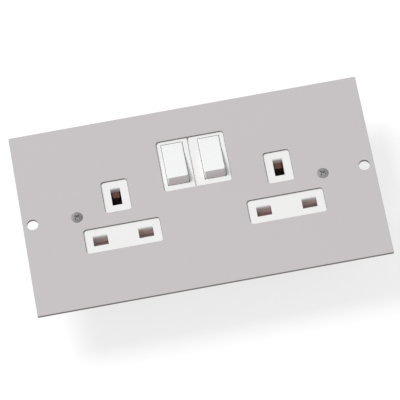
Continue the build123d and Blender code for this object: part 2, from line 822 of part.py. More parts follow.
def plate_screws():
    top_z = plate_thickness
    cone = screw_head_radius - screw_radius
    dome = dome_radius(screw_head_radius, screw_head_dome)
    dome_angle = degrees(asin(screw_head_radius / dome))
    with BuildPart() as screws:
        for x in (-screw_spacing / 2, screw_spacing / 2):
            axis_plane = Plane(origin=(x, 0, 0), x_dir=(1, 0, 0), z_dir=(0, -1, 0))
            with BuildSketch(axis_plane):
                with BuildLine():
                    Polyline(
                        (0, top_z + screw_head_dome),
                        (0, top_z - screw_length),
                        (screw_radius, top_z - screw_length),
                        (screw_radius, top_z - cone),
                        (screw_head_radius, top_z),
                    )
                    CenterArc((0, top_z + screw_head_dome - dome), dome, 90 - dome_angle, dome_angle)
                make_face()
            revolve(axis=Axis((x, 0, 0), (0, 0, 1)))
            with BuildSketch(Plane.XY.offset(top_z + screw_head_dome)):
                with Locations((x, 0)):
                    Rectangle(recess_length, recess_width, rotation=45)
                    Rectangle(recess_width, recess_length, rotation=45)
            extrude(amount=-plate_recess_depth, mode=Mode.SUBTRACT)
    save(screws, "plate_screws")


def screw_bushes():
    with BuildPart() as bushes:
        with GridLocations(screw_spacing, 0, 2, 1):
            Cylinder(bush_radius, -bar_top_z, align=(Align.CENTER, Align.CENTER, Align.MAX))
        with BuildSketch(Plane.XY.offset(bar_top_z)):
            with GridLocations(screw_spacing, 0, 2, 1):
                Circle(bush_spigot_radius)
        extrude(amount=-strip_thickness - bush_spigot_end)
        with Locations(Plane.XY):
            with GridLocations(screw_spacing, 0, 2, 1):
                Hole(bush_bore_radius, depth=screw_length)
    save(bushes, "screw_bushes")


def cover_screws():
    with BuildPart() as screws:
        with BuildSketch(Plane.XY.offset(cover_head_z)):
            with Locations(*cover_screw_places()):
                Circle(cover_head_radius)
        extrude(amount=-cover_head_height)
        with BuildSketch(Plane.XY.offset(cover_head_z)):
            with Locations(*cover_screw_places()):
                Circle(cover_screw_radius)
        extrude(amount=cover_screw_length)
        with BuildSketch(Plane.XY.offset(cover_head_z - cover_head_height)):
            with Locations(*cover_screw_places()):
                Rectangle(recess_length, recess_width)
                Rectangle(recess_width, recess_length)
        extrude(amount=cover_recess_depth, mode=Mode.SUBTRACT)
    save(screws, "cover_screws")


def terminal(name, place):
    x, y = place
    with BuildPart() as block:
        with BuildSketch(Plane.XY.offset(terminal_bottom_z)):
            with Locations(place):
                Rectangle(terminal_size, terminal_size)
        extrude(amount=bar_z - terminal_bottom_z)
        chamfer(block.edges().filter_by(Axis.Z), terminal_edge)
        with BuildSketch(Plane(origin=(x, y, terminal_bore_z), z_dir=(0, 1, 0))):
            Circle(terminal_bore_radius)
        extrude(amount=terminal_size, both=True, mode=Mode.SUBTRACT)
        with Locations(Plane(origin=(x, y, terminal_bottom_z), z_dir=(0, 0, -1))):
            Hole(terminal_screw_radius + terminal_thread_gap, depth=terminal_bore_z - terminal_bottom_z)
        with Locations(Plane(origin=(x, y, bar_z))):
            Hole(rivet_radius, depth=rivet_length)
    save(block, name)


def terminal_screws():
    shank = terminal_bore_z - terminal_bore_radius - terminal_tip_gap - terminal_bottom_z
    with BuildPart() as screws:
        with BuildSketch(Plane.XY.offset(terminal_bottom_z)):
            with Locations(*terminals):
                Circle(terminal_head_radius)
        extrude(amount=-terminal_head_height)
        with BuildSketch(Plane.XY.offset(terminal_bottom_z)):
            with Locations(*terminals):
                Circle(terminal_screw_radius)
        extrude(amount=shank)
        with BuildSketch(Plane.XY.offset(terminal_bottom_z - terminal_head_height)):
            with Locations(*terminals):
                Rectangle(2 * terminal_head_radius, driver_slot)
        extrude(amount=driver_slot, mode=Mode.SUBTRACT)
    save(screws, "terminal_screws")


def terminal_rivets():
    with BuildPart() as rivets:
        with BuildSketch(Plane.XY.offset(bar_top_z)):
            with Locations(*terminals):
                Circle(rivet_head_radius)
        extrude(amount=rivet_head_height)
        with BuildSketch(Plane.XY.offset(bar_z - rivet_length)):
            with Locations(*terminals):
                Circle(rivet_radius)
        extrude(amount=rivet_length + strip_thickness)
    save(rivets, "terminal_rivets")


front_plate()
socket_front()
rear_cover()
for side, x in zip(("left", "right"), rocker_x):
    rocker(side, x)
    plunger(side, x)
    rocker_spring(side, x)
    moving_contact(side, x)
    moving_tip(side, x)
fixed_tips()
live_bar()
live_contact("left", rocker_x[0], -live_run_x, socket_x[0] + pin_spacing / 2, False)
live_contact("right", rocker_x[1], live_run_x, socket_x[1] + pin_spacing / 2, True)
neutral_bar()
earth_bar()
for side, x in zip(("left", "right"), socket_x):
    shutter(side, x)
    shutter_spring(side, x)
plate_screws()
screw_bushes()
cover_screws()
terminal("live_terminal", live_terminal)
terminal("neutral_terminal", neutral_terminal)
terminal("earth_terminal", earth_terminal)
terminal_screws()
terminal_rivets()
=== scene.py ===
import json
import math

import bmesh
import bpy
from mathutils import Matrix, Vector


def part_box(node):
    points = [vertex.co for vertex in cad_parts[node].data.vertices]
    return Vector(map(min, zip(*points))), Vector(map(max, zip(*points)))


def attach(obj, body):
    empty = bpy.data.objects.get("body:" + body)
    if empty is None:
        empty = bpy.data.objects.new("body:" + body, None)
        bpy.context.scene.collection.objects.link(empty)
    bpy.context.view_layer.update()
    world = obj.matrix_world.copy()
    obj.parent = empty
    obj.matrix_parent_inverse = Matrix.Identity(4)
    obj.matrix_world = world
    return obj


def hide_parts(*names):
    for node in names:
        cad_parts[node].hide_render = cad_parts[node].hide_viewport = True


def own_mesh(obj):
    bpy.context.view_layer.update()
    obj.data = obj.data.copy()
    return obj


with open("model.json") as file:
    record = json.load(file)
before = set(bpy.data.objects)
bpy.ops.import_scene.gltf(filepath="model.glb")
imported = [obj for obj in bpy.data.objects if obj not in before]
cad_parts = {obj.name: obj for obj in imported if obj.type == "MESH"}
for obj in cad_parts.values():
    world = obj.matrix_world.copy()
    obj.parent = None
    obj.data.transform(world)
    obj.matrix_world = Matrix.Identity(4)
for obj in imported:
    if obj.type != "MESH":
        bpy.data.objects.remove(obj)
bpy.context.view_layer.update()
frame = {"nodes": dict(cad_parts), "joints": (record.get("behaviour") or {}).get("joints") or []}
cadNodes = frame["nodes"]
print("loaded the packed socket module")

mm = 0.001
sides = ("left", "right")
rockerTilt = -9.8  # degrees about X in the off position, with the lower end raised
vector = "NodeSocketVector"
number = "NodeSocketFloat"


# Short forms for objects and node trees


def addObject(name, data):
    piece = bpy.data.objects.new(name, data)
    bpy.context.scene.collection.objects.link(piece)
    return piece


def bakeModifiers(piece):  # the mesh that the modifiers make takes the place of the first one
    graph = bpy.context.evaluated_depsgraph_get()
    finished = bpy.data.meshes.new_from_object(piece.evaluated_get(graph))
    piece.modifiers.clear()
    piece.data = finished
    return finished


def addNode(tree, kind, **settings):
    node = tree.nodes.new(kind)
    for label, value in settings.items():
        setattr(node, label, value)
    return node


def setInputs(node, values):
    for label, value in values.items():
        node.inputs[label].default_value = value


def join(tree, *pairs):
    for source, target in pairs:
        tree.links.new(source, target)


def emptyTree(owner):  # the node tree of a material or a world, without its first nodes
    owner.use_nodes = True
    owner.node_tree.nodes.clear()
    return owner.node_tree


def startGroup(name, inputs, outputs):
    group = bpy.data.node_groups.new(name, "ShaderNodeTree")
    for label, kind in {"Coordinates": vector, **inputs}.items():
        group.interface.new_socket(label, in_out="INPUT", socket_type=kind)
    for label in outputs:
        group.interface.new_socket(label, in_out="OUTPUT", socket_type=number)
    return group, addNode(group, "NodeGroupInput"), addNode(group, "NodeGroupOutput")


def useGroup(tree, group, coordinates, values):
    node = addNode(tree, "ShaderNodeGroup", node_tree=group)
    join(tree, (coordinates, node.inputs["Coordinates"]))
    setInputs(node, values)
    return node


def blendColours(tree, factor, first, second):  # each colour is a tuple or a socket
    mix = addNode(tree, "ShaderNodeMix", data_type="RGBA")
    join(tree, (factor, mix.inputs["Factor"]))
    for label, colour in (("A", first), ("B", second)):
        socket = [s for s in mix.inputs if s.name == label and s.type == "RGBA"][0]
        if isinstance(colour, tuple):
            socket.default_value = (*colour, 1)
        else:
            join(tree, (colour, socket))
    return [s for s in mix.outputs if s.type == "RGBA"][0]


def spread(tree, value, low, high):  # lays a 0 to 1 value over another range
    node = addNode(tree, "ShaderNodeMapRange")
    setInputs(node, {"To Min": low, "To Max": high})
    join(tree, (value, node.inputs["Value"]))
    return node.outputs["Result"]


def fade(tree, value, start, end):  # 0 where the value is at start, 1 where it is at end
    node = addNode(tree, "ShaderNodeMapRange")
    setInputs(node, {"From Min": start, "From Max": end})
    join(tree, (value, node.inputs["Value"]))
    return node.outputs["Result"]


def combine(tree, operation, first, second):  # both are sockets
    node = addNode(tree, "ShaderNodeMath", operation=operation)
    join(tree, (first, node.inputs[0]), (second, node.inputs[1]))
    return node.outputs["Value"]


def splitVector(tree, source):
    node = addNode(tree, "ShaderNodeSeparateXYZ")
    join(tree, (source, node.inputs["Vector"]))
    return node.outputs


def startMaterial(name, metallic, specular):
    material = bpy.data.materials.new(name)
    tree = emptyTree(material)
    surface = addNode(tree, "ShaderNodeBsdfPrincipled")
    setInputs(surface, {"Metallic": metallic, "Specular IOR Level": specular})
    end = addNode(tree, "ShaderNodeOutputMaterial")
    join(tree, (surface.outputs["BSDF"], end.inputs["Surface"]))
    place = addNode(tree, "ShaderNodeTexCoord")
    return material, tree, surface, place


def finishSurface(tree, surface, colour, roughness, height, bumpDepth):
    bump = addNode(tree, "ShaderNodeBump")
    setInputs(bump, {"Strength": 1.0, "Distance": bumpDepth})
    join(
        tree,
        (height, bump.inputs["Height"]),
        (bump.outputs["Normal"], surface.inputs["Normal"]),
        (colour, surface.inputs["Base Color"]),
        (roughness, surface.inputs["Roughness"]),
    )


# Effects that several materials share

effects = {
    "grainDetail": 3.0,
    "driftDetail": 2.0,
    "patchNoise": {"Detail": 4.0, "Roughness": 0.62, "Distortion": 0.6},
    "patchLimits": (0.42, 0.68),
    "lineDetail": 3.0,
    "streakDetail": 2.0,
    "streakScale": 0.17,  # of the scale of the fine lines
    "uprightLimits": (0.68, 0.60),  # of the normal's Z, up or down
    "levelLimits": (0.88, 0.98),  # of the normal's Z
    "frayDetail": 4.0,
}


def addNoise(group, coordinates, scale, **values):
    noise = addNode(group, "ShaderNodeTexNoise")
    setInputs(noise, values)
    join(group, (coordinates, noise.inputs["Vector"]), (scale, noise.inputs["Scale"]))
    return noise.outputs["Fac"]


def makeFineGrain():  # moulded or sprayed surface: a fine orange peel and a slow drift in tone
    inputs = {"Fine Scale": number, "Drift Scale": number}
    group, start, end = startGroup("fineGrain", inputs, ["Height", "Drift"])
    given = start.outputs
    spot = given["Coordinates"]
    fine = addNoise(group, spot, given["Fine Scale"], Detail=effects["grainDetail"])
    slow = addNoise(group, spot, given["Drift Scale"], Detail=effects["driftDetail"])
    join(group, (fine, end.inputs["Height"]), (slow, end.inputs["Drift"]))
    return group


def makeHandling():  # faint patches where fingers and cloths have polished or dulled the surface
    group, start, end = startGroup("handling", {"Patch Scale": number}, ["Patches"])
    given = start.outputs
    patch = addNoise(group, given["Coordinates"], given["Patch Scale"], **effects["patchNoise"])
    join(group, (fade(group, patch, *effects["patchLimits"]), end.inputs["Patches"]))
    return group


def makeRolledLines():  # rolling, drawing or turning marks: noise pulled out along one direction
    inputs = {"Stretch": vector, "Scale": number}
    group, start, end = startGroup("rolledLines", inputs, ["Height", "Streaks"])
    given = start.outputs
    pulled = addNode(group, "ShaderNodeVectorMath", operation="MULTIPLY")
    slower = addNode(group, "ShaderNodeMath", operation="MULTIPLY")
    slower.inputs[1].default_value = effects["streakScale"]
    join(
        group,
        (given["Coordinates"], pulled.inputs[0]),
        (given["Stretch"], pulled.inputs[1]),
        (given["Scale"], slower.inputs[0]),
    )
    along = pulled.outputs["Vector"]
    fine = addNoise(group, along, given["Scale"], Detail=effects["lineDetail"])
    broad = addNoise(group, along, slower.outputs["Value"], Detail=effects["streakDetail"])
    join(group, (fine, end.inputs["Height"]), (broad, end.inputs["Streaks"]))
    return group


def makeSlopes():  # masks of the upright and of the level faces, from the surface's own normal
    inputs = {"Facing": vector, "Fray Scale": number}
    group, start, end = startGroup("slopes", inputs, ["Upright", "Level", "Fray"])
    given = start.outputs
    height = splitVector(group, given["Facing"])["Z"]
    either = addNode(group, "ShaderNodeMath", operation="ABSOLUTE")
    join(group, (height, either.inputs[0]))
    upright = fade(group, either.outputs["Value"], *effects["uprightLimits"])
    level = fade(group, height, *effects["levelLimits"])
    scale = given["Fray Scale"]
    fray = addNoise(group, given["Coordinates"], scale, Detail=effects["frayDetail"])
    join(
        group,
        (upright, end.inputs["Upright"]),
        (level, end.inputs["Level"]),
        (fray, end.inputs["Fray"]),
    )
    return group


fineGrain = makeFineGrain()
handling = makeHandling()
rolledLines = makeRolledLines()
slopes = makeSlopes()
print("built the shared surface effects")


# Painted steel of the plate

plateFinish = {
    "paint": (0.545, 0.515, 0.522),
    "paintDrift": (0.558, 0.528, 0.535),
    "bareEdge": (0.33, 0.302, 0.29),
    "bareEdgeLight": (0.50, 0.463, 0.438),
    "roughness": (0.46, 0.56),
    "specular": 0.35,
    "peelScale": 1900.0,
    "peelDepth": 0.012 * mm,
    "driftScale": 14.0,
    "patchScale": 45.0,
    "frayScale": 1400.0,
}


def makePlatePaint():
    look = plateFinish
    material, tree, surface, place = startMaterial("platePaint", 0.0, look["specular"])
    spot = place.outputs["Object"]
    scales = {"Fine Scale": look["peelScale"], "Drift Scale": look["driftScale"]}
    grain = useGroup(tree, fineGrain, spot, scales)
    touched = useGroup(tree, handling, spot, {"Patch Scale": look["patchScale"]})
    sheared = useGroup(tree, slopes, spot, {"Fray Scale": look["frayScale"]})
    join(tree, (place.outputs["Normal"], sheared.inputs["Facing"]))
    paint = blendColours(tree, grain.outputs["Drift"], look["paint"], look["paintDrift"])
    bare = blendColours(tree, sheared.outputs["Fray"], look["bareEdge"], look["bareEdgeLight"])
    colour = blendColours(tree, sheared.outputs["Upright"], paint, bare)
    roughness = spread(tree, touched.outputs["Patches"], *look["roughness"])
    finishSurface(tree, surface, colour, roughness, grain.outputs["Height"], look["peelDepth"])
    return material


# Moulded plastics

mouldings = {
    "whiteMoulding": {
        "colour": (0.845, 0.842, 0.84),
        "drift": (0.868, 0.866, 0.864),
        # painted shade: the slots and wells turn darker and red-brown below the face
        "inside": (0.72, 0.612, 0.592),
        "insideFrom": 0.4 * mm,
        "insideTo": -1.8 * mm,
        "insideHalf": (60 * mm, 22 * mm, 1.0),  # half the width and height that it keeps to
        "insideRim": (1.0, 0.97),  # so that the moulding's outer walls stay white
        "roughness": (0.30, 0.42),
        "grainScale": 2600.0,
        "grainDepth": 0.004 * mm,
        "specular": 0.5,
    },
    "rockerMoulding": {
        "colour": (0.862, 0.865, 0.872),
        "drift": (0.876, 0.878, 0.884),
        "roughness": (0.22, 0.32),
        "grainScale": 2200.0,
        "grainDepth": 0.002 * mm,
        "specular": 0.5,
        # painted shade on the faces of the switch's raised end that turn toward -Y
        "endShade": (0.83, 0.76, 0.775),
        "pressedLimits": (-0.6, -0.8),  # of the normal's Y
    },
    "coverMoulding": {
        "colour": (0.030, 0.029, 0.030),
        "drift": (0.046, 0.044, 0.043),
        "roughness": (0.46, 0.62),
        "grainScale": 1500.0,
        "grainDepth": 0.02 * mm,
        "specular": 0.4,
    },
    "shutterMoulding": {
        "colour": (0.33, 0.155, 0.12),
        "drift": (0.37, 0.18, 0.14),
        "dust": (0.56, 0.44, 0.43),
        # painted shade: near black on the steep end of the ramp
        "steepShade": (0.020, 0.011, 0.008),
        "roughness": (0.42, 0.58),
        "grainScale": 1800.0,
        "grainDepth": 0.008 * mm,
        "specular": 0.4,
    },
    "plungerMoulding": {
        "colour": (0.70, 0.68, 0.61),
        "drift": (0.76, 0.74, 0.67),
        "roughness": (0.38, 0.50),
        "grainScale": 2400.0,
        "grainDepth": 0.004 * mm,
        "specular": 0.45,
    },
}
mouldingScales = {"drift": 40.0, "patches": 120.0, "fray": 600.0}


def insideMask(tree, spot, look):  # where the slots' painted shade goes: behind the face, and within the outer walls
    scaled = addNode(tree, "ShaderNodeVectorMath", operation="DIVIDE")
    scaled.inputs[1].default_value = look["insideHalf"]
    outward = addNode(tree, "ShaderNodeVectorMath", operation="ABSOLUTE")
    join(tree, (spot, scaled.inputs[0]), (scaled.outputs["Vector"], outward.inputs[0]))
    reach = splitVector(tree, outward.outputs["Vector"])
    farther = combine(tree, "MAXIMUM", reach["X"], reach["Y"])
    within = fade(tree, farther, *look["insideRim"])
    depth = fade(tree, splitVector(tree, spot)["Z"], look["insideFrom"], look["insideTo"])
    return combine(tree, "MULTIPLY", depth, within)


def makeMoulding(name):
    look = mouldings[name]
    material, tree, surface, place = startMaterial(name, 0.0, look["specular"])
    spot = place.outputs["Object"]
    facing = place.outputs["Normal"]
    scales = {"Fine Scale": look["grainScale"], "Drift Scale": mouldingScales["drift"]}
    grain = useGroup(tree, fineGrain, spot, scales)
    touched = useGroup(tree, handling, spot, {"Patch Scale": mouldingScales["patches"]})
    colour = blendColours(tree, grain.outputs["Drift"], look["colour"], look["drift"])
    if "inside" in look:  # painted shade and bounced light: below the face the slots and wells darken and take a red-brown tinge
        colour = blendColours(tree, insideMask(tree, spot, look), colour, look["inside"])
    if "endShade" in look:  # painted shade: faces turned toward -Y, at the end that fingers push, are darkened with a mauve tinge
        lowerEnd = fade(tree, splitVector(tree, facing)["Y"], *look["pressedLimits"])
        colour = blendColours(tree, lowerEnd, colour, look["endShade"])
    if "steepShade" in look:  # dust on the level top, and painted shade, near black, on the steep end of the ramp
        faces = useGroup(tree, slopes, spot, {"Fray Scale": mouldingScales["fray"]})
        join(tree, (facing, faces.inputs["Facing"]))
        colour = blendColours(tree, faces.outputs["Level"], colour, look["dust"])
        colour = blendColours(tree, faces.outputs["Upright"], colour, look["steepShade"])
    roughness = spread(tree, touched.outputs["Patches"], *look["roughness"])
    finishSurface(tree, surface, colour, roughness, grain.outputs["Height"], look["grainDepth"])
    return material


# Metals

metals = {
    "brassStrip": {
        "colour": (0.66, 0.43, 0.17),
        "dulled": (0.47, 0.30, 0.13),
        "roughness": (0.26, 0.46),
        "stretch": (0.08, 1.0, 1.0),
        "scale": 4200.0,
        "depth": 0.003 * mm,
    },
    "turnedBrass": {
        "colour": (0.72, 0.49, 0.20),
        "dulled": (0.56, 0.37, 0.16),
        "roughness": (0.20, 0.36),
        "stretch": (0.25, 0.25, 1.0),
        "scale": 5200.0,
        "depth": 0.004 * mm,
    },
    "silverTip": {
        "colour": (0.80, 0.79, 0.75),
        "dulled": (0.62, 0.60, 0.56),
        "roughness": (0.24, 0.42),
        "stretch": (1.0, 1.0, 1.0),
        "scale": 3800.0,
        "depth": 0.003 * mm,
    },
    "zincScrew": {
        "colour": (0.235, 0.228, 0.228),
        "dulled": (0.165, 0.16, 0.16),
        "roughness": (0.60, 0.74),
        "stretch": (1.0, 1.0, 0.3),
        "scale": 3200.0,
        "depth": 0.006 * mm,
        "dust": (0.57, 0.555, 0.55),
        "dustTop": (1.45 * mm, 1.30 * mm),  # heights that only the screws in the plate reach
        "dustEnd": (0.30 * mm, 0.40 * mm),
    },
    "springSteel": {
        "colour": (0.50, 0.49, 0.49),
        "dulled": (0.36, 0.355, 0.35),
        "roughness": (0.28, 0.40),
        "stretch": (1.0, 1.0, 1.0),
        "scale": 6000.0,
        "depth": 0.002 * mm,
    },
}
metalSurface = {"metallic": 1.0, "specular": 0.5, "patches": 160.0}


def makeMetal(name):
    look = metals[name]
    metallic = metalSurface["metallic"]
    material, tree, surface, place = startMaterial(name, metallic, metalSurface["specular"])
    spot = place.outputs["Object"]
    marks = useGroup(tree, rolledLines, spot, {"Stretch": look["stretch"], "Scale": look["scale"]})
    touched = useGroup(tree, handling, spot, {"Patch Scale": metalSurface["patches"]})
    colour = blendColours(tree, touched.outputs["Patches"], look["colour"], look["dulled"])
    if "dust" in look:  # swept into the cross recesses of the two screws in the plate
        height = splitVector(tree, spot)["Z"]
        under = fade(tree, height, *look["dustTop"])
        above = fade(tree, height, *look["dustEnd"])
        dusty = combine(tree, "MULTIPLY", under, above)
        colour = blendColours(tree, dusty, colour, look["dust"])
        join(tree, (spread(tree, dusty, metallic, 0.0), surface.inputs["Metallic"]))
    roughness = spread(tree, marks.outputs["Streaks"], *look["roughness"])
    finishSurface(tree, surface, colour, roughness, marks.outputs["Height"], look["depth"])
    return material


finishes = {"platePaint": makePlatePaint()}
for name in mouldings:
    finishes[name] = makeMoulding(name)
for name in metals:
    finishes[name] = makeMetal(name)
print("made", len(finishes), "materials")

nodeFinish = {
    "platePaint": ["front_plate"],
    "whiteMoulding": ["socket_front"],
    "rockerMoulding": ["rocker_left", "rocker_right"],
    "coverMoulding": ["rear_cover"],
    "shutterMoulding": ["shutter_left", "shutter_right"],
    "plungerMoulding": ["plunger_left", "plunger_right"],
    "brassStrip": [
        "earth_bar",
        "neutral_bar",
        "live_bar",
        "live_contact_left",
        "live_contact_right",
        "moving_contact_left",
        "moving_contact_right",
    ],
    "turnedBrass": [
        "screw_bushes",
        "live_terminal",
        "neutral_terminal",
        "earth_terminal",
        "terminal_rivets",
    ],
    "silverTip": ["fixed_tips", "moving_tip_left", "moving_tip_right"],
    "zincScrew": ["plate_screws", "cover_screws", "terminal_screws"],
    "springSteel": [
        "rocker_spring_left",
        "rocker_spring_right",
        "shutter_spring_left",
        "shutter_spring_right",
    ],
}
for finishName, names in nodeFinish.items():
    for name in names:
        for slot in cadNodes[name].material_slots:
            slot.material = finishes[finishName]


# Smooth skins for the pieces whose rounded or wide faces show: body, record slot and material
skins = {
    "front_plate": ("module", "painted_plate", "platePaint"),
    "socket_front": ("module", "white_moulding", "whiteMoulding"),
    "rocker_left": ("rocker_left", "white_moulding", "rockerMoulding"),
    "rocker_right": ("rocker_right", "white_moulding", "rockerMoulding"),
    "rear_cover": ("module", "cover_moulding", "coverMoulding"),
    "shutter_left": ("shutter_left", "shutter_moulding", "shutterMoulding"),
    "shutter_right": ("shutter_right", "shutter_moulding", "shutterMoulding"),
    "plate_screws": ("module", "plated_steel", "zincScrew"),
    "cover_screws": ("module", "plated_steel", "zincScrew"),
    "terminal_screws": ("module", "plated_steel", "zincScrew"),
    "live_terminal": ("module", "turned_brass", "turnedBrass"),
    "neutral_terminal": ("module", "turned_brass", "turnedBrass"),
    "earth_terminal": ("module", "turned_brass", "turnedBrass"),
}
joining = {"distance": 0.002 * mm, "flatAngle": math.radians(0.6), "maxCorners": 4}
sharpAngle = math.radians(35)  # edges steeper than this stay crisp
plateEdge = {"width": 0.10 * mm, "segments": 2}  # the sheared edge is broken under the paint
rockerCorner = {
    "radius": 1.1 * mm,
    "steps": 5,  # across the rounded width
    "endSteps": 13,  # along the switch, from its raised end
    "endStep": 0.25 * mm,
    "cap": 2.0 * mm,  # depth of the part above the trunnions
    "slack": 1.001,  # for points that rounding puts just outside the side walls
}


def mergedCopy(nodeName):  # a node's mesh with its loose triangles joined and its flat faces whole
    mesh = cadNodes[nodeName].data.copy()
    mesh.name = f"{nodeName}_surface"
    clean = bmesh.new()
    clean.from_mesh(mesh)
    bmesh.ops.remove_doubles(clean, verts=clean.verts, dist=joining["distance"])
    flat = joining["flatAngle"]
    bmesh.ops.dissolve_limit(clean, angle_limit=flat, verts=clean.verts, edges=clean.edges)
    if nodeName != "front_plate":  # the plate's wide faces stay whole
        wide = [face for face in clean.faces if len(face.verts) > joining["maxCorners"]]
        bmesh.ops.triangulate(clean, faces=wide)
    clean.to_mesh(mesh)
    clean.free()
    ownNormals = mesh.attributes.get("custom_normal")
    if ownNormals:  # the loose triangles' normals mean nothing on the joined faces
        mesh.attributes.remove(ownNormals)
    mesh.shade_smooth()
    return mesh


def cutAcross(shape, middle, direction, distance):  # on both sides of the middle
    for side in (-1, 1):
        bmesh.ops.bisect_plane(
            shape,
            geom=shape.verts[:] + shape.edges[:] + shape.faces[:],
            plane_co=middle + direction * distance * side,
            plane_no=direction,
        )


def roundRockerCorners(nodeName, mesh):  # both corners of a switch's raised end are well rounded
    turn = [joint for joint in frame["joints"] if joint["name"] == f"{nodeName}_turn"][0]
    pivot = Vector(turn["pos_m"])
    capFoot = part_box(nodeName)[1][2] - rockerCorner["cap"]
    radius = rockerCorner["radius"]
    steps = rockerCorner["steps"]
    capHalf = max(abs(v.co.x - pivot.x) for v in mesh.vertices if v.co.z > capFoot)
    endReach = max(math.hypot(v.co.y - pivot.y, v.co.z - pivot.z) for v in mesh.vertices)
    tilt = math.radians(rockerTilt)
    lengthways = Vector((0, math.cos(tilt), math.sin(tilt)))
    shape = bmesh.new()
    shape.from_mesh(mesh)
    for step in range(1, steps):  # the flat walls need points near the corners before they bend
        cutAcross(shape, pivot, Vector((1, 0, 0)), capHalf - radius * step / steps)
    for step in range(rockerCorner["endSteps"]):
        cutAcross(shape, pivot, lengthways, endReach - rockerCorner["endStep"] * step)
    for vert in [vert for vert in shape.verts if vert.co.y < pivot.y]:
        across = vert.co.x - pivot.x
        reach = math.hypot(vert.co.y - pivot.y, vert.co.z - pivot.z)
        sideways = radius - (capHalf - abs(across))  # from the middle of the corner's arc
        endways = radius - (endReach - reach)
        if 0 < sideways <= radius * rockerCorner["slack"] and endways > 0:
            pull = max(sideways, endways) / math.hypot(sideways, endways)
            newReach = endReach - radius + endways * pull
            vert.co.x = pivot.x + math.copysign(capHalf - radius + sideways * pull, across)
            vert.co.y = pivot.y + (vert.co.y - pivot.y) * newReach / reach
            vert.co.z = pivot.z + (vert.co.z - pivot.z) * newReach / reach
    shape.to_mesh(mesh)
    shape.free()


def breakPlateEdges(piece):
    bevel = piece.modifiers.new("edge", "BEVEL")
    bevel.width = plateEdge["width"]
    bevel.segments = plateEdge["segments"]
    bevel.limit_method = "ANGLE"
    bevel.angle_limit = sharpAngle
    bevel.miter_outer = "MITER_ARC"
    bevel.face_strength_mode = "FSTR_ALL"


def makeSkin(nodeName, body, slot, finishName):
    mesh = mergedCopy(nodeName)
    if nodeName.startswith("rocker"):
        roundRockerCorners(nodeName, mesh)
    piece = addObject(f"{nodeName}_shell", mesh)
    if nodeName == "front_plate":
        breakPlateEdges(piece)
    else:
        mesh.set_sharp_from_angle(angle=sharpAngle)
    flatten = piece.modifiers.new("flatten", "WEIGHTED_NORMAL")  # flat faces look flat
    flatten.keep_sharp = True  # each side of a sharp edge keeps its own normals
    flatten.use_face_influence = nodeName == "front_plate"  # it stays flat up to its broken edges
    finished = bakeModifiers(piece)
    finished.materials.clear()
    finished.materials.append(finishes[finishName])
    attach(piece, body)
    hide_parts(nodeName)


for nodeName, facts in skins.items():
    makeSkin(nodeName, *facts)
print("laid smooth skins over", len(skins), "pieces")


# Coil springs

springs = {
    "rocker": {
        "coils": 5.5,
        "endCoils": 1.1,  # wound close, at each end
        "radius": 1.1 * mm,
        "wire": 0.32 * mm,
        "tilt": rockerTilt,
    },
    "shutter": {
        "coils": 9.0,
        "endCoils": 1.2,
        "radius": 1.2 * mm,
        "wire": 0.34 * mm,
        "tilt": -90.0,  # lies along Y
    },
    "steps": 28,  # points in each coil
    "wireSides": 8,
}


